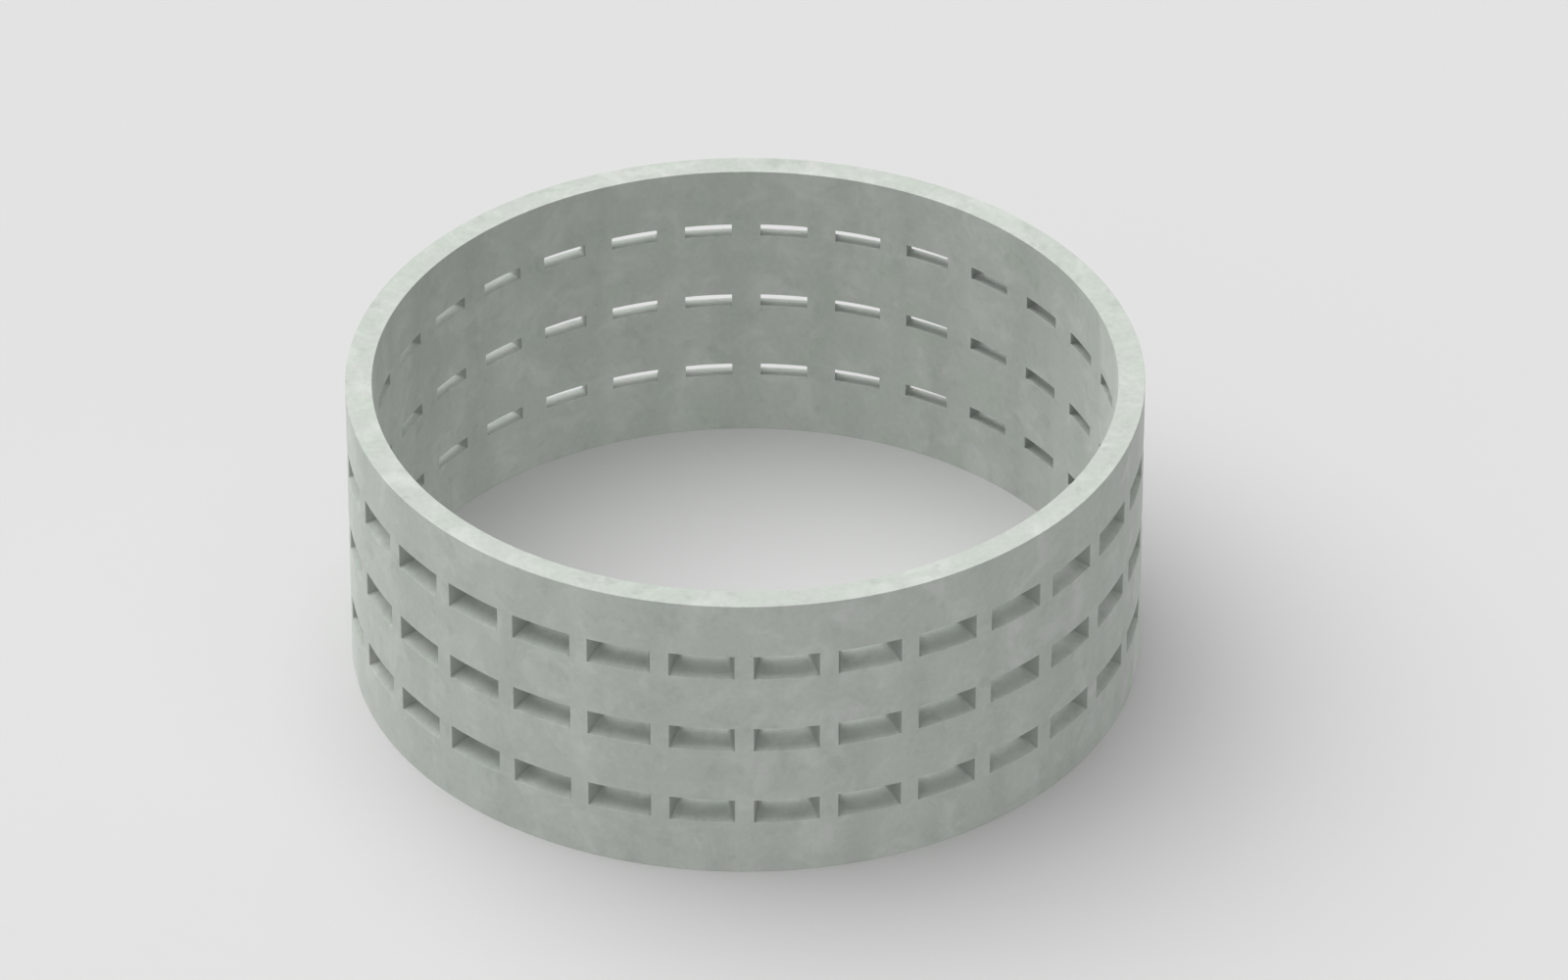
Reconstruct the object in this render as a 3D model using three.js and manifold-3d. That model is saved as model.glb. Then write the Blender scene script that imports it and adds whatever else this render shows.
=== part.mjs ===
// Slotted precast concrete ring, standing on its end.
// Rings like it are stacked in the ground, and water seeps out through the slots in the wall.
// Millimetres, +Z up, origin at the centre of the flat underside.

import * as THREE from 'three';
import { mergeVertices } from 'three/addons/utils/BufferGeometryUtils.js';
import Module from 'manifold-3d';

const { degToRad, lerp } = THREE.MathUtils;

// ---- Driving dimensions ----

const outerDiameter = 3048;
const wallThickness = 101.6;
const ringHeight = 1219.2;

// Every slot narrows from the outer face to the inner face. Widths are straight across the opening.
const outerSlotWidth = 248.9;
const outerSlotHeight = 101.6;
const innerSlotWidth = 184.2;
const innerSlotHeight = 50.8;
// The sill of a slot falls outwards more steeply than its top rises,
// so the middle of the inner opening is this much higher than the middle of the outer one.
const innerSlotLift = 6.35;

// The rows of slots are spread evenly up the wall, with an equal plain band above, below and between.
const slotRows = 3;
// Round the wall there are as many slots as fit with a rib at least this wide between two of them.
const narrowestRib = 63.5;

// Flat facets that the round wall has for each slot of a row
const facetsPerSlot = 4;

// ---- Values worked out from them ----

const outerRadius = outerDiameter / 2;
const innerRadius = outerRadius - wallThickness;

const slotsPerRow = Math.floor(Math.PI * outerDiameter / (outerSlotWidth + narrowestRib));
const slotPitch = 360 / slotsPerRow;
const plainBand = (ringHeight - slotRows * outerSlotHeight) / (slotRows + 1);
const rowPitch = plainBand + outerSlotHeight;
const lowestRowHeight = plainBand + outerSlotHeight / 2;

// Distance from the ring's axis to the straight line that joins an opening's two side edges
const chordReach = (radius, width) => Math.sqrt(radius ** 2 - (width / 2) ** 2);
const outerSlotReach = chordReach(outerRadius, outerSlotWidth);
const innerSlotReach = chordReach(innerRadius, innerSlotWidth);

// A slot cutter runs this share of the wall past each face, at the same taper.
const cutterOverrun = 0.25;

// ---- Solids ----

// Makes a closed solid of a three.js geometry.
function toSolid(wasm, geometry) {
  geometry.deleteAttribute('normal');
  geometry.deleteAttribute('uv');
  const merged = mergeVertices(geometry);
  return new wasm.Manifold(new wasm.Mesh({
    numProp: 3,
    vertProperties: merged.attributes.position.array,
    triVerts: Uint32Array.from(merged.index.array),
  }));
}

function toGeometry(solid) {
  const { vertProperties, triVerts } = solid.getMesh();
  const geometry = new THREE.BufferGeometry();
  geometry.setAttribute('position', new THREE.BufferAttribute(vertProperties, 3));
  geometry.setIndex(new THREE.BufferAttribute(triVerts, 1));
  geometry.computeVertexNormals();
  return geometry;
}

// The wall's rectangular section, turned once round the axis.
function plainRing() {
  const section = [
    new THREE.Vector2(innerRadius, 0),
    new THREE.Vector2(outerRadius, 0),
    new THREE.Vector2(outerRadius, ringHeight),
    new THREE.Vector2(innerRadius, ringHeight),
    new THREE.Vector2(innerRadius, 0),
  ];
  return new THREE.LatheGeometry(section, slotsPerRow * facetsPerSlot).rotateX(Math.PI / 2);
}

// A box that points outwards through the wall, with its corners moved onto the slot's taper.
function slotCutter(angle, height) {
  const cutter = new THREE.BoxGeometry();
  const corners = cutter.attributes.position;
  for (let i = 0; i < corners.count; i += 1) {
    const throughWall = corners.getX(i) > 0 ? 1 + cutterOverrun : -cutterOverrun;
    corners.setXYZ(
      i,
      lerp(innerSlotReach, outerSlotReach, throughWall),
      corners.getY(i) * lerp(innerSlotWidth, outerSlotWidth, throughWall),
      corners.getZ(i) * lerp(innerSlotHeight, outerSlotHeight, throughWall)
        + lerp(innerSlotLift, 0, throughWall),
    );
  }
  return cutter.rotateZ(degToRad(angle)).translate(0, 0, height);
}

function slottedRing(wasm) {
  let ring = toSolid(wasm, plainRing());
  for (let row = 0; row < slotRows; row += 1) {
    const height = lowestRowHeight + row * rowPitch;
    for (let slot = 0; slot < slotsPerRow; slot += 1) {
      ring = ring.subtract(toSolid(wasm, slotCutter(slot * slotPitch, height)));
    }
  }
  return toGeometry(ring);
}

// ---- Model ----

const wasm = await Module();
wasm.setup();

const concrete = new THREE.MeshStandardMaterial({
  name: 'concrete',
  color: 0xbac1b9,
  roughness: 0.9,
  metalness: 0,
  flatShading: true,
});

const ring = new THREE.Mesh(slottedRing(wasm), concrete);
ring.name = 'slotted_ring';

const model = new THREE.Group();
model.add(ring);

export default model;
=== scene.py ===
import math

import bmesh
import bpy
from mathutils import Euler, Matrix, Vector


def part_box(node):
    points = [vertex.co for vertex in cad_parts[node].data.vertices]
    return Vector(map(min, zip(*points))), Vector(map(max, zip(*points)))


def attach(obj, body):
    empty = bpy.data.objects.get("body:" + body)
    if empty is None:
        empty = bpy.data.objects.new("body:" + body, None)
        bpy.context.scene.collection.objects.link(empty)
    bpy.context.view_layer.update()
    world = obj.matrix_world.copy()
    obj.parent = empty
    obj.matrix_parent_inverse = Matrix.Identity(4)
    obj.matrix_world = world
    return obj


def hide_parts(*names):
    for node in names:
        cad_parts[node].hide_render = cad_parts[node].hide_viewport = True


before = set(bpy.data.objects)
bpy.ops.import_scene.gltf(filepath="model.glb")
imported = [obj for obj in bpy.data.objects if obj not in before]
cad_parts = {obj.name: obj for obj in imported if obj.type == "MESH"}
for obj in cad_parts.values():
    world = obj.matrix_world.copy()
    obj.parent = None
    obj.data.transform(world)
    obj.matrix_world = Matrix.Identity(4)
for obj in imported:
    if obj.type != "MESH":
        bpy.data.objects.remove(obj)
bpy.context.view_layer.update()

bl_info = {
    "name": "Slotted precast ring",
    "version": (1, 0, 0),
    "blender": (4, 5, 0),
    "location": "3D View > Sidebar > Precast",
    "description": "Makes a slotted precast concrete ring and the floor and lamps it is shown with",
    "category": "Object",
}

RING_NODE = "slotted_ring"
RING_LOW, RING_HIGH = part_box(RING_NODE)


# --- node trees -----------------------------------------------------------------------------


class Value:
    """One socket of a node tree. Arithmetic on it adds Math nodes to that tree."""

    def __init__(self, nodes, socket):
        self.nodes, self.socket = nodes, socket

    def __add__(self, other):
        return self.nodes.math("ADD", self, other)

    def __radd__(self, other):
        return self.nodes.math("ADD", other, self)

    def __sub__(self, other):
        return self.nodes.math("SUBTRACT", self, other)

    def __rsub__(self, other):
        return self.nodes.math("SUBTRACT", other, self)

    def __mul__(self, other):
        return self.nodes.math("MULTIPLY", self, other)

    def __rmul__(self, other):
        return self.nodes.math("MULTIPLY", other, self)

    def __truediv__(self, other):
        return self.nodes.math("DIVIDE", self, other)

    def __rtruediv__(self, other):
        return self.nodes.math("DIVIDE", other, self)

    def __mod__(self, other):
        return self.nodes.math("FLOORED_MODULO", self, other)

    def __gt__(self, other):
        return self.nodes.math("GREATER_THAN", self, other)

    def __lt__(self, other):
        return self.nodes.math("LESS_THAN", self, other)


class Nodes:
    """A node tree that is filled in by expressions."""

    def __init__(self, tree):
        self.tree = tree

    def node(self, kind, settings=None, inputs=None, output=0):
        """Adds a node: its settings first, then the values or links of its sockets."""
        made = self.tree.nodes.new(kind)
        for name, setting in (settings or {}).items():
            setattr(made, name, setting)
        for key, value in (inputs or {}).items():
            self.feed(self._find(made.inputs, key), value)
        return Value(self, self._find(made.outputs, output)) if made.outputs else None

    def feed(self, socket, value):
        """Links a value to a socket, or sets the socket to a plain one."""
        if isinstance(value, Value):
            self.tree.links.new(value.socket, socket)
        else:
            socket.default_value = value

    def also(self, value, output):
        """Another output of the node that a value comes from."""
        return Value(self, self._find(value.socket.node.outputs, output))

    def math(self, operation, *values):
        return self.node("ShaderNodeMath", {"operation": operation}, dict(enumerate(values)))

    def floor(self, value):
        return self.math("FLOOR", value)

    def share(self, value):
        """A value held between 0 and 1."""
        return self.node("ShaderNodeClamp", None, {"Value": value})

    def vector(self, x, y, z):
        return self.node("ShaderNodeCombineXYZ", None, {"X": x, "Y": y, "Z": z})

    def axes(self, vector):
        """The three numbers of a vector."""
        x = self.node("ShaderNodeSeparateXYZ", None, {"Vector": vector}, "X")
        return x, self.also(x, "Y"), self.also(x, "Z")

    def ramp(self, value, low, high):
        """0 at low, 1 at high, smooth between them."""
        return self.node(
            "ShaderNodeMapRange",
            {"interpolation_type": "SMOOTHSTEP"},
            {"Value": value, "From Min": low, "From Max": high},
        )

    def blend(self, share, first, second, blend_type="MIX"):
        """Mixes two colours."""
        return self.node(
            "ShaderNodeMix",
            {"data_type": "RGBA", "blend_type": blend_type},
            {"Factor_Float": share, "A_Color": first, "B_Color": second},
            "Result_Color",
        )

    @staticmethod
    def _find(sockets, key):
        if isinstance(key, int):
            return sockets[key]
        return next(s for s in sockets if key in (s.identifier, s.name))


def opaque(colour):
    return (*colour, 1.0)


def empty_material(name):
    material = bpy.data.materials.new(name)
    material.use_nodes = True
    material.node_tree.nodes.clear()
    return material, Nodes(material.node_tree)


# --- sizes and colours a user would change --------------------------------------------------


class RingSizes(bpy.types.PropertyGroup):
    outer_diameter: bpy.props.FloatProperty(
        name="Outer Diameter",
        description="Distance across the ring over its outer wall",
        default=RING_HIGH[0] - RING_LOW[0],
        min=0.5,
        subtype="DISTANCE",
        unit="LENGTH",
    )
    height: bpy.props.FloatProperty(
        name="Height",
        description="From the bottom face to the top rim",
        default=RING_HIGH[2] - RING_LOW[2],
        min=0.2,
        subtype="DISTANCE",
        unit="LENGTH",
    )
    wall_thickness: bpy.props.FloatProperty(
        name="Wall Thickness",
        description="Thickness of the cast wall",
        default=0.1016,
        min=0.02,
        subtype="DISTANCE",
        unit="LENGTH",
    )
    slot_rows: bpy.props.IntProperty(
        name="Slot Rows",
        description="Rows of slots, one above the other",
        default=3,
        min=1,
    )
    slots_per_row: bpy.props.IntProperty(
        name="Slots per Row",
        description="Slots around the ring in one row",
        default=30,
        min=3,
    )
    outer_slot_width: bpy.props.FloatProperty(
        name="Outer Slot Width",
        description="Width of a slot's mouth in the outer wall",
        default=0.2489,
        min=0.01,
        subtype="DISTANCE",
        unit="LENGTH",
    )
    outer_slot_height: bpy.props.FloatProperty(
        name="Outer Slot Height",
        description="Height of a slot's mouth in the outer wall",
        default=0.1016,
        min=0.01,
        subtype="DISTANCE",
        unit="LENGTH",
    )
    inner_slot_width: bpy.props.FloatProperty(
        name="Inner Slot Width",
        description="Width of the same slot in the inner wall, where it is narrower",
        default=0.1842,
        min=0.01,
        subtype="DISTANCE",
        unit="LENGTH",
    )
    inner_slot_height: bpy.props.FloatProperty(
        name="Inner Slot Height",
        description="Height of the same slot in the inner wall, where it is lower",
        default=0.0508,
        min=0.01,
        subtype="DISTANCE",
        unit="LENGTH",
    )
    inner_slot_lift: bpy.props.FloatProperty(
        name="Inner Slot Lift",
        description="How much higher a slot's middle lies in the inner wall than in the outer",
        default=0.00635,
        subtype="DISTANCE",
        unit="LENGTH",
    )
    arris: bpy.props.FloatProperty(
        name="Arris",
        description="Width of the worn edge along the rims and the mouths of the slots",
        default=0.0015,
        min=0.0005,
        max=0.01,
        subtype="DISTANCE",
        unit="LENGTH",
    )
    slot_steps: bpy.props.IntProperty(
        name="Slot Steps",
        description="Straight steps that follow the curve across one slot",
        default=12,
        min=2,
    )
    rib_steps: bpy.props.IntProperty(
        name="Rib Steps",
        description="Straight steps that follow the curve across the rib between two slots",
        default=3,
        min=1,
    )
    band_steps: bpy.props.IntProperty(
        name="Band Steps",
        description="Rows of faces in a plain band between two rows of slots",
        default=4,
        min=1,
    )


class ConcreteFinish(bpy.types.PropertyGroup):
    colour: bpy.props.FloatVectorProperty(
        name="Concrete",
        description="The cast surface between its clouds",
        default=(0.486, 0.519, 0.480),
        min=0.0,
        max=1.0,
        size=3,
        subtype="COLOR",
    )
    damp_colour: bpy.props.FloatVectorProperty(
        name="Greener Patches",
        description="Cement paste where the patches lean to green",
        default=(0.468, 0.512, 0.464),
        min=0.0,
        max=1.0,
        size=3,
        subtype="COLOR",
    )
    dry_colour: bpy.props.FloatVectorProperty(
        name="Chalky Patches",
        description="Paler dry paste on the surface",
        default=(0.534, 0.552, 0.526),
        min=0.0,
        max=1.0,
        size=3,
        subtype="COLOR",
    )
    cloud_depth: bpy.props.FloatProperty(
        name="Cloud Depth",
        description="How far the broad clouds darken and lighten the surface",
        default=0.20,
        min=0.0,
        max=1.0,
        subtype="FACTOR",
    )
    rim_clouding: bpy.props.FloatProperty(
        name="Rim Clouding",
        description="How many times as strong the clouds are on the struck-off rim as on the walls",
        default=1.35,
        min=0.0,
        max=4.0,
    )
    # Painted shade: the sides and top inside a slot are darkened in colour to stand in for the
    # shade that falls there
    painted_slot_shade: bpy.props.FloatProperty(
        name="Painted Slot Shade",
        description="How much darker the sides and top inside a slot are, where rain never gets",
        default=0.26,
        min=0.0,
        max=1.0,
        subtype="FACTOR",
    )
    pore_share: bpy.props.FloatProperty(
        name="Pores",
        description="Share of the surface cells that hold an air-bubble pore",
        default=0.16,
        min=0.0,
        max=1.0,
        subtype="FACTOR",
    )
    grain_height: bpy.props.FloatProperty(
        name="Grain Height",
        description="Height of the fine sand grain",
        default=0.0005,
        min=0.0,
        max=0.005,
        subtype="DISTANCE",
        unit="LENGTH",
    )
    roughness: bpy.props.FloatProperty(
        name="Roughness",
        description="Gloss of the cast face, from polished to dull",
        default=0.78,
        min=0.0,
        max=1.0,
        subtype="FACTOR",
    )
    dust: bpy.props.FloatProperty(
        name="Dust",
        description="Pale bloom of cement dust where a face is seen at a slant",
        default=0.25,
        min=0.0,
        max=1.0,
        subtype="FACTOR",
    )


class StageSettings(bpy.types.PropertyGroup):
    floor_colour: bpy.props.FloatVectorProperty(
        name="Floor",
        description="Colour of the plain floor as it is seen",
        default=(0.59, 0.59, 0.59),
        min=0.0,
        max=1.0,
        size=3,
        subtype="COLOR",
    )
    floor_bounce: bpy.props.FloatVectorProperty(
        name="Floor Bounce",
        description="Colour of the floor for the light it throws back on the ring",
        default=(0.25, 0.25, 0.25),
        min=0.0,
        max=1.0,
        size=3,
        subtype="COLOR",
    )
    floor_glow: bpy.props.FloatProperty(
        name="Floor Light",
        description="Soft light from the floor, the same in the open as in the ring's shade",
        default=0.46,
        min=0.0,
    )
    floor_radius: bpy.props.FloatProperty(
        name="Floor Radius",
        description="How far the floor reaches from the ring",
        default=120.0,
        min=5.0,
        subtype="DISTANCE",
        unit="LENGTH",
    )
    backdrop_colour: bpy.props.FloatVectorProperty(
        name="Backdrop",
        description="Colour of the room as it is seen beyond the floor",
        default=(0.80, 0.80, 0.80),
        min=0.0,
        max=1.0,
        size=3,
        subtype="COLOR",
    )
    room_level: bpy.props.FloatProperty(
        name="Room Light",
        description="Even light from the whole room",
        default=0.01,
        min=0.0,
    )
    overhead_level: bpy.props.FloatProperty(
        name="Overhead Lamp",
        description="Strength of the broad lamp high above, behind and to the left",
        default=2.44,
        min=0.0,
    )
    side_level: bpy.props.FloatProperty(
        name="Side Lamp",
        description="Strength of the low lamp behind and to the left",
        default=0.67,
        min=0.0,
    )
    back_level: bpy.props.FloatProperty(
        name="Back Lamp",
        description="Strength of the high lamp behind and to the right",
        default=0.65,
        min=0.0,
    )
    front_level: bpy.props.FloatProperty(
        name="Front Lamp",
        description="Strength of the very broad lamp in front",
        default=1.58,
        min=0.0,
    )


# --- the ring -------------------------------------------------------------------------------

INTEGER, LENGTH = "NodeSocketInt", "NodeSocketFloat"
# Each input of the ring's node tree, and the property that feeds it
RING_INPUTS = (
    ("Outer Diameter", LENGTH, "outer_diameter"),
    ("Height", LENGTH, "height"),
    ("Wall Thickness", LENGTH, "wall_thickness"),
    ("Slot Rows", INTEGER, "slot_rows"),
    ("Slots per Row", INTEGER, "slots_per_row"),
    ("Outer Slot Width", LENGTH, "outer_slot_width"),
    ("Outer Slot Height", LENGTH, "outer_slot_height"),
    ("Inner Slot Width", LENGTH, "inner_slot_width"),
    ("Inner Slot Height", LENGTH, "inner_slot_height"),
    ("Inner Slot Lift", LENGTH, "inner_slot_lift"),
    ("Slot Steps", INTEGER, "slot_steps"),
    ("Rib Steps", INTEGER, "rib_steps"),
    ("Band Steps", INTEGER, "band_steps"),
)
# Edges that turn further than this are worn to an arris, or stay sharp in a hollow
ARRIS_ANGLE = math.radians(40)
ARRIS_STEPS = 3
# Weight at which the broad faces alone set the shading, so that only the arris looks round
BROAD_FACES_RULE = 100
WELD = 0.00005  # metres, within which two points are one
OUTER_WALL = "outer_wall"
ARRIS_WEIGHT = "bevel_weight_edge"


def ring_tree():
    """A wall sheet laid out slot by slot, opened at the slots and thickened outwards."""
    tree = bpy.data.node_groups.new("Slotted ring", "GeometryNodeTree")
    for name, kind, _ in RING_INPUTS:
        tree.interface.new_socket(name, in_out="INPUT", socket_type=kind)
    tree.interface.new_socket("Material", in_out="INPUT", socket_type="NodeSocketMaterial")
    tree.interface.new_socket("Ring", in_out="OUTPUT", socket_type="NodeSocketGeometry")
    nodes = Nodes(tree)
    given = nodes.node("NodeGroupInput")
    size = {name: nodes.also(given, name) for name, _, _ in RING_INPUTS}

    # The sheet runs round column by column, and down from the rim tier by tier
    columns = size["Slot Steps"] + size["Rib Steps"]
    around = size["Slots per Row"] * columns
    tiers = size["Band Steps"] + 1
    up = size["Slot Rows"] * tiers + size["Band Steps"]
    index = nodes.node("GeometryNodeInputIndex")
    along = index % around
    column = along % columns
    tier_row = nodes.floor(index / around)
    row = nodes.floor(tier_row / tiers)
    tier = tier_row % tiers

    outer_radius = size["Outer Diameter"] / 2
    inner_radius = outer_radius - size["Wall Thickness"]

    def reach(radius, width):
        """From the axis to the straight line between a slot's two corners on this wall."""
        return nodes.math("SQRT", radius * radius - width * width / 4)

    outer_reach = reach(outer_radius, size["Outer Slot Width"])
    inner_reach = reach(inner_radius, size["Inner Slot Width"])
    pitch = math.tau / size["Slots per Row"]
    cut_height = size["Slot Rows"] * size["Outer Slot Height"]
    plain_band = (size["Height"] - cut_height) / (size["Slot Rows"] + 1)
    row_pitch = plain_band + size["Outer Slot Height"]
    flare = (size["Outer Slot Height"] - size["Inner Slot Height"]) / 2
    across_slot = nodes.share(column / size["Slot Steps"])
    across_rib = nodes.share((column - size["Slot Steps"]) / size["Rib Steps"])
    down_band = nodes.share(tier / size["Band Steps"])
    below_a_slot = row > 0.5
    above_a_slot = row < size["Slot Rows"]

    def place(radius, slot_width):
        """Where each point lies on the wall of this radius."""
        half_turn = nodes.math("ARCSINE", slot_width / 2 / radius)
        slot_turn = half_turn * (2 * across_slot - 1)
        rib_turn = pitch - 2 * half_turn
        turn = nodes.floor(along / columns) * pitch + slot_turn + rib_turn * across_rib
        reached = radius * nodes.math("COSINE", slot_turn)
        depth = (reached - inner_reach) / (outer_reach - inner_reach)
        head = (flare - size["Inner Slot Lift"]) * (1 - depth)
        sill = (flare + size["Inner Slot Lift"]) * (1 - depth)
        band = plain_band + sill * below_a_slot + head * above_a_slot
        drop = row * row_pitch - sill * below_a_slot + down_band * band
        in_slot = nodes.share(tier - size["Band Steps"])
        z = size["Height"] - drop - in_slot * (size["Outer Slot Height"] - head - sill)
        return nodes.vector(
            radius * nodes.math("COSINE", turn), radius * nodes.math("SINE", turn), z
        )

    sheet = nodes.node(
        "GeometryNodeMeshCylinder", {"fill_type": "NONE"}, {"Vertices": around, "Side Segments": up}
    )
    sheet = nodes.node(
        "GeometryNodeStoreNamedAttribute",
        {"data_type": "FLOAT_VECTOR", "domain": "POINT"},
        {
            "Geometry": sheet,
            "Name": OUTER_WALL,
            "Value": place(outer_radius, size["Outer Slot Width"]),
        },
    )
    sheet = nodes.node(
        "GeometryNodeSetPosition",
        None,
        {"Geometry": sheet, "Position": place(inner_radius, size["Inner Slot Width"])},
    )
    is_slot = nodes.math("MULTIPLY", column < size["Slot Steps"], tier > size["Band Steps"] - 0.5)
    sheet = nodes.node(
        "GeometryNodeDeleteGeometry", {"domain": "FACE"}, {"Geometry": sheet, "Selection": is_slot}
    )
    wall = nodes.node(
        "GeometryNodeExtrudeMesh",
        {"mode": "FACES"},
        {"Mesh": sheet, "Offset Scale": 0.0, "Individual": False},
    )
    top = nodes.also(wall, "Top")
    outer_wall = nodes.node(
        "GeometryNodeInputNamedAttribute",
        {"data_type": "FLOAT_VECTOR"},
        {"Name": OUTER_WALL},
        "Attribute",
    )
    wall = nodes.node(
        "GeometryNodeSetPosition",
        None,
        {"Geometry": wall, "Selection": top, "Position": outer_wall},
    )
    inside = nodes.node("GeometryNodeFlipFaces", None, {"Mesh": sheet})
    whole = nodes.node("GeometryNodeJoinGeometry", None, {"Geometry": inside})
    nodes.feed(whole.socket.node.inputs["Geometry"], wall)
    whole = nodes.node("GeometryNodeMergeByDistance", None, {"Geometry": whole, "Distance": WELD})
    whole = nodes.node("GeometryNodeRemoveAttribute", None, {"Geometry": whole, "Name": OUTER_WALL})

    angle = nodes.node("GeometryNodeInputMeshEdgeAngle", output="Signed Angle")
    whole = nodes.node(
        "GeometryNodeStoreNamedAttribute",
        {"data_type": "FLOAT", "domain": "EDGE"},
        {"Geometry": whole, "Name": ARRIS_WEIGHT, "Value": angle > ARRIS_ANGLE},
    )
    whole = nodes.node("GeometryNodeSetShadeSmooth", {"domain": "FACE"}, {"Geometry": whole})
    whole = nodes.node(
        "GeometryNodeSetShadeSmooth",
        {"domain": "EDGE"},
        {"Geometry": whole, "Selection": angle < -ARRIS_ANGLE, "Shade Smooth": False},
    )
    whole = nodes.node("GeometryNodeRealizeInstances", None, {"Geometry": whole})
    material = nodes.also(given, "Material")
    whole = nodes.node(
        "GeometryNodeSetMaterial", None, {"Geometry": whole, "Material": material}
    )
    nodes.node("NodeGroupOutput", None, {"Ring": whole})
    return tree


def plain_mesh(carrier, name):
    """The mesh that an object's modifiers make, on an object without any."""
    evaluated = carrier.evaluated_get(bpy.context.evaluated_depsgraph_get())
    mesh = bpy.data.meshes.new_from_object(evaluated)
    mesh.name = name
    if ARRIS_WEIGHT in mesh.attributes:
        mesh.attributes.remove(mesh.attributes[ARRIS_WEIGHT])
    base = carrier.data
    bpy.data.objects.remove(carrier)
    bpy.data.meshes.remove(base)
    piece = bpy.data.objects.new(name, mesh)
    bpy.context.scene.collection.objects.link(piece)
    return piece


class PRECAST_OT_slotted_ring(bpy.types.Operator):
    """Makes the concrete ring with its rows of tapered slots"""

    bl_idname = "precast.slotted_ring"
    bl_label = "Slotted Ring"
    bl_options = {"REGISTER", "UNDO"}

    def execute(self, context):
        sizes = context.scene.precast_ring
        concrete = concrete_material(context.scene.precast_concrete, sizes)
        carrier = bpy.data.objects.new("ring carrier", bpy.data.meshes.new("ring carrier"))
        context.scene.collection.objects.link(carrier)
        rule = carrier.modifiers.new("Slotted ring", "NODES")
        tree = ring_tree()
        rule.node_group = tree
        sockets = {s.name: s.identifier for s in tree.interface.items_tree if s.in_out == "INPUT"}
        for name, _, field in RING_INPUTS:
            rule[sockets[name]] = getattr(sizes, field)
        rule[sockets["Material"]] = concrete
        arris = carrier.modifiers.new("Arris", "BEVEL")
        arris.limit_method = "WEIGHT"
        arris.width = sizes.arris
        arris.segments = ARRIS_STEPS
        even = carrier.modifiers.new("Even shading", "WEIGHTED_NORMAL")
        even.keep_sharp = True
        even.weight = BROAD_FACES_RULE
        ring = plain_mesh(carrier, "slotted_ring_cast")
        if not ring.data.polygons:
            raise RuntimeError("the ring came out empty")
        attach(ring, "root")
        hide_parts(RING_NODE)
        return {"FINISHED"}


# --- the concrete ---------------------------------------------------------------------------

# Lumps per metre, octaves, strength of the finer ones, and how far the lumps are drawn awry
BROAD = (1.9, 1.0, 0.50, 0.0)
GREEN = (4.8, 1.0, 0.50, 0.0)
STREAK = (6.0, 1.5, 0.50, 0.0)
CLOUD = (6.2, 4.0, 0.60, 0.7)
SMUDGE = (13.0, 3.0, 0.58, 0.0)
MOTTLE = (40.0, 3.0, 0.60, 0.0)
GRAIN = (420.0, 3.0, 0.65, 0.0)
# Where a layer starts to show as a patch or a mark, and where it shows in full
GREEN_SHOWS, BLOOM_SHOWS, CHALK_SHOWS = (0.40, 0.66), (0.44, 0.66), (0.50, 0.74)
SMUDGE_SHOWS, PINHOLE_SHOWS = (0.54, 0.72), (0.33, 0.25)
# Share of its height that a streak keeps, so that it is drawn out upright
STREAK_SQUEEZE = 0.08
# Marks per metre, and of their spacing: a mark's largest reach, its soft edge and its raggedness
PORES_PER_METRE, PORE_REACH, PORE_EDGE, PORE_RAGGED = 38.0, 0.10, 0.030, 0.05
LIME_PER_METRE, LIME_REACH, LIME_EDGE, LIME_RAGGED = 17.0, 0.14, 0.06, 0.25
# Share of places that hold a speck of lime
LIME_SHARE = 0.30
# How deep each layer of the clouds goes, as a share of the cloud depth
STREAK_DEPTH, BROAD_DEPTH, BLOOM_DEPTH, SMUDGE_DEPTH, MOTTLE_DEPTH = 1.20, 0.16, 0.30, 0.36, 0.90
# How far each mark lightens or darkens the surface; the darkening of pores and pinholes is painted
# shade inside them
LIME_LIFT, GRAIN_DEPTH, PORE_PAINTED_SHADE, PINHOLE_PAINTED_SHADE = 0.05, 0.08, 0.40, 0.25
CHALK_STRENGTH = 0.6
# Share of the wall's thickness at each face that belongs to the arris, not to the slot's inside
ARRIS_SHARE = (0.01, 0.04)
# Depth of a pore in grain heights
PORE_SINK = 3.0
# How far each layer changes the roughness
CLOUD_DULLS, GRAIN_DULLS, PORE_DULLS = 0.08, 0.08, 0.10
CEMENT_IOR, CEMENT_SPECULAR = 1.45, 0.35
# How far from the slant view the bloom of dust still shows
DUST_SPREAD = 0.30


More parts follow.
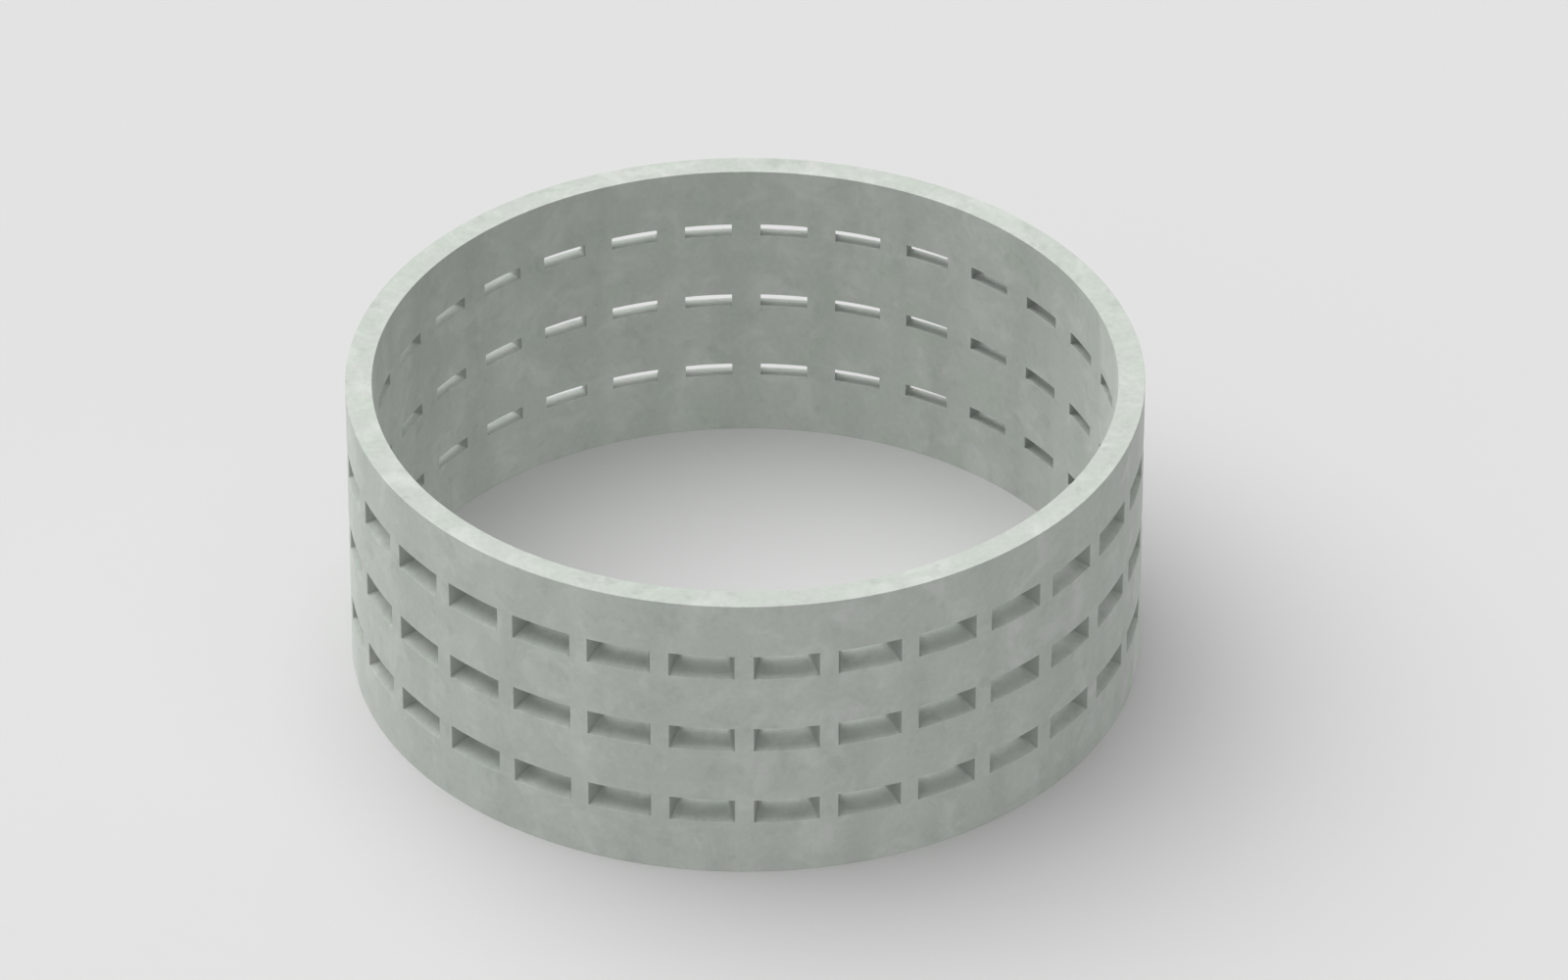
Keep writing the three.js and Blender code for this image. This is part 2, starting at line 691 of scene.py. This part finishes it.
def concrete_material(finish, sizes):
    """Cast concrete: clouds, streaks, greener and chalky patches, fine sand and small pores, with
    painted shade inside the slots, pores and pinholes.
    """
    material, nodes = empty_material("cast concrete")
    where = nodes.node("ShaderNodeTexCoord", output="Object")

    def noise(layer, at=where):
        scale, detail, roughness, distortion = layer
        return nodes.node(
            "ShaderNodeTexNoise",
            None,
            {
                "Vector": at,
                "Scale": scale,
                "Detail": detail,
                "Roughness": roughness,
                "Distortion": distortion,
            },
        )

    def dots(per_metre, share_of_cells, largest, edge, ragged):
        """Sparse round marks of mixed size, 1 inside a mark."""
        to_centre = nodes.node(
            "ShaderNodeTexVoronoi",
            {"feature": "F1"},
            {"Vector": where, "Scale": per_metre},
            "Distance",
        )
        cell = nodes.also(to_centre, "Color")
        lot = nodes.node("ShaderNodeSeparateColor", None, {"Color": cell}, "Red")
        reach = nodes.share((lot - (1.0 - share_of_cells)) / share_of_cells) * largest
        return nodes.share((reach - to_centre + ragged) / edge)

    broad, cloud, mottle, grain = noise(BROAD), noise(CLOUD), noise(MOTTLE), noise(GRAIN)
    bloom = nodes.ramp(cloud, *BLOOM_SHOWS)
    smudge = nodes.ramp(noise(SMUDGE), *SMUDGE_SHOWS)
    pinhole = nodes.ramp(grain, *PINHOLE_SHOWS)
    ragged = (grain - 0.5) * PORE_RAGGED
    pore = dots(PORES_PER_METRE, finish.pore_share, PORE_REACH, PORE_EDGE, ragged)
    ragged = (mottle - 0.5) * LIME_RAGGED
    lime = dots(LIME_PER_METRE, LIME_SHARE, LIME_REACH, LIME_EDGE, ragged)

    x, y, z = nodes.axes(where)
    facing = nodes.node("ShaderNodeNewGeometry", output="True Normal")
    upwards = nodes.axes(facing)[2]
    upright = nodes.math("ABSOLUTE", upwards) < 0.5
    streak = noise(STREAK, nodes.vector(x, y, z * STREAK_SQUEEZE))

    # Painted shade on the sides and the top inside a slot: within the wall, and not facing up
    inner_radius = sizes.outer_diameter / 2 - sizes.wall_thickness
    into_wall = (nodes.math("SQRT", x * x + y * y) - inner_radius) / sizes.wall_thickness
    start, full = ARRIS_SHARE
    inside = nodes.ramp(into_wall, start, full) * nodes.ramp(into_wall, 1 - start, 1 - full)
    slot_shade_mask = inside * (upwards < 0.5)

    clouds = (
        (broad - 0.5) * BROAD_DEPTH
        + (bloom - 0.5) * BLOOM_DEPTH
        - smudge * SMUDGE_DEPTH
        + (mottle - 0.5) * MOTTLE_DEPTH
    ) * (upright + (1.0 - upright) * finish.rim_clouding)
    streaks = (streak - 0.5) * upright * STREAK_DEPTH
    shade = (
        1.0
        + (clouds + streaks) * finish.cloud_depth
        + lime * LIME_LIFT
        + (grain - 0.5) * GRAIN_DEPTH
    )
    # Painted shade inside the pores and pinholes
    shade = shade * (1.0 - pore * PORE_PAINTED_SHADE) * (1.0 - pinhole * PINHOLE_PAINTED_SHADE)
    # Painted shade inside the slots
    shade = shade * (1.0 - slot_shade_mask * finish.painted_slot_shade)

    green = nodes.ramp(noise(GREEN), *GREEN_SHOWS)
    chalk = nodes.ramp(cloud, *CHALK_SHOWS) * CHALK_STRENGTH
    colour = nodes.blend(green, opaque(finish.colour), opaque(finish.damp_colour))
    colour = nodes.blend(chalk, colour, opaque(finish.dry_colour))
    grey = nodes.node(
        "ShaderNodeCombineColor", None, {"Red": shade, "Green": shade, "Blue": shade}
    )
    colour = nodes.blend(1.0, colour, grey, "MULTIPLY")

    height = grain - pore * PORE_SINK
    bump = nodes.node(
        "ShaderNodeBump",
        None,
        {"Height": height, "Distance": finish.grain_height, "Strength": 1.0},
    )
    roughness = (
        finish.roughness
        + (bloom - 0.5) * CLOUD_DULLS
        + (grain - 0.5) * GRAIN_DULLS
        + pore * PORE_DULLS
    )
    surface = nodes.node(
        "ShaderNodeBsdfPrincipled",
        None,
        {
            "Base Color": colour,
            "Roughness": roughness,
            "Normal": bump,
            "IOR": CEMENT_IOR,
            "Specular IOR Level": CEMENT_SPECULAR,
            "Sheen Weight": finish.dust,
            "Sheen Roughness": DUST_SPREAD,
        },
    )
    nodes.node("ShaderNodeOutputMaterial", {"is_active_output": True}, {"Surface": surface})
    return material


# --- floor, lamps and camera ----------------------------------------------------------------

# Name, strength, and in degrees: bearing from +X, height above the floor line, and breadth
LAMPS = (
    ("overhead lamp", "overhead_level", 140, 65, 70),
    ("side lamp", "side_level", 140, 30, 60),
    ("back lamp", "back_level", 60, 60, 80),
    ("front lamp", "front_level", -100, 30, 140),
)
# Millimetres
SENSOR_WIDTH, FOCAL_LENGTH = 36.0, 245.37
# Metres and radians
CAMERA_PLACE = (0.131525, -33.7053, 24.08543)
CAMERA_DOWN, CAMERA_TURN = 0.6068017, -0.00049
FAR_LIMIT = 500.0
FLOOR_GAP = 0.0005
FLOOR_SIDES = 96


def seen_directly(nodes):
    """1 where the camera or a mirror sees a surface, 0 where it only throws light."""
    path = nodes.node("ShaderNodeLightPath", output="Is Camera Ray")
    seen = nodes.math("MAXIMUM", path, nodes.also(path, "Is Glossy Ray"))
    return nodes.math("MAXIMUM", seen, nodes.also(path, "Is Transmission Ray"))


class PRECAST_OT_stage(bpy.types.Operator):
    """Makes the plain floor, the soft light of the room and the lamps"""

    bl_idname = "precast.stage"
    bl_label = "Floor and Light"
    bl_options = {"REGISTER", "UNDO"}

    def execute(self, context):
        stage = context.scene.precast_stage
        shape = bmesh.new()
        bmesh.ops.create_circle(
            shape, cap_ends=True, segments=FLOOR_SIDES, radius=stage.floor_radius
        )
        for vertex in shape.verts:
            vertex.co.z = -FLOOR_GAP
        mesh = bpy.data.meshes.new("floor")
        shape.to_mesh(mesh)
        shape.free()
        floor = bpy.data.objects.new("floor", mesh)
        context.scene.collection.objects.link(floor)
        mesh.materials.append(self.floor_material(stage))

        world = bpy.data.worlds.new("soft studio")
        context.scene.world = world
        world.use_nodes = True
        world.node_tree.nodes.clear()
        nodes = Nodes(world.node_tree)
        room = opaque((stage.room_level,) * 3)
        colour = nodes.blend(seen_directly(nodes), room, opaque(stage.backdrop_colour))
        light = nodes.node("ShaderNodeBackground", None, {"Color": colour, "Strength": 1.0})
        nodes.node("ShaderNodeOutputWorld", {"is_active_output": True}, {"Surface": light})

        for name, setting, bearing, elevation, width in LAMPS:
            lamp = bpy.data.lights.new(name, "SUN")
            lamp.energy = getattr(stage, setting)
            lamp.angle = math.radians(width)
            holder = bpy.data.objects.new(name, lamp)
            tilt, turn = math.radians(90 - elevation), math.radians(bearing)
            holder.rotation_euler = Euler((0.0, tilt, turn))
            context.scene.collection.objects.link(holder)
        return {"FINISHED"}

    @staticmethod
    def floor_material(stage):
        material, nodes = empty_material("plain floor")
        bounce = nodes.node("ShaderNodeBsdfDiffuse", None, {"Color": opaque(stage.floor_bounce)})
        glow = nodes.node("ShaderNodeEmission", None, {"Strength": stage.floor_glow})
        thrown = nodes.node("ShaderNodeAddShader", None, {0: bounce, 1: glow})
        seen = nodes.node("ShaderNodeBsdfDiffuse", None, {"Color": opaque(stage.floor_colour)})
        surface = nodes.node(
            "ShaderNodeMixShader", None, {0: seen_directly(nodes), 1: thrown, 2: seen}
        )
        nodes.node("ShaderNodeOutputMaterial", {"is_active_output": True}, {"Surface": surface})
        return material


class PRECAST_OT_camera(bpy.types.Operator):
    """Places the camera that looks down on the ring from the front"""

    bl_idname = "precast.camera"
    bl_label = "Camera"
    bl_options = {"REGISTER", "UNDO"}

    def execute(self, context):
        lens = bpy.data.cameras.new("camera")
        lens.sensor_width = SENSOR_WIDTH
        lens.lens = FOCAL_LENGTH
        lens.clip_end = FAR_LIMIT
        camera = bpy.data.objects.new("camera", lens)
        camera.location = CAMERA_PLACE
        camera.rotation_euler = Euler((math.pi / 2 - CAMERA_DOWN, 0.0, CAMERA_TURN))
        context.scene.collection.objects.link(camera)
        context.scene.camera = camera
        context.scene.view_settings.view_transform = "Standard"
        return {"FINISHED"}


class PRECAST_PT_panel(bpy.types.Panel):
    """Sizes, finish and stage of the ring"""

    bl_idname = "PRECAST_PT_panel"
    bl_label = "Precast Ring"
    bl_space_type = "VIEW_3D"
    bl_region_type = "UI"
    bl_category = "Precast"

    def draw(self, context):
        for title, group, operators in (
            ("Ring", context.scene.precast_ring, ("precast.slotted_ring",)),
            ("Concrete", context.scene.precast_concrete, ()),
            ("Stage", context.scene.precast_stage, ("precast.stage", "precast.camera")),
        ):
            box = self.layout.box()
            box.label(text=title)
            for field in type(group).__annotations__:
                box.prop(group, field)
            for operator in operators:
                box.operator(operator)


GROUPS = {
    "precast_ring": RingSizes,
    "precast_concrete": ConcreteFinish,
    "precast_stage": StageSettings,
}
CLASSES = (
    *GROUPS.values(),
    PRECAST_OT_slotted_ring,
    PRECAST_OT_stage,
    PRECAST_OT_camera,
    PRECAST_PT_panel,
)


def register():
    for cls in CLASSES:
        bpy.utils.register_class(cls)
    for name, group in GROUPS.items():
        setattr(bpy.types.Scene, name, bpy.props.PointerProperty(type=group))


def unregister():
    for name in GROUPS:
        delattr(bpy.types.Scene, name)
    for cls in reversed(CLASSES):
        bpy.utils.unregister_class(cls)


def main():
    register()
    bpy.ops.precast.camera()
    bpy.ops.precast.slotted_ring()
    bpy.ops.precast.stage()


if __name__ == "__main__":
    main()
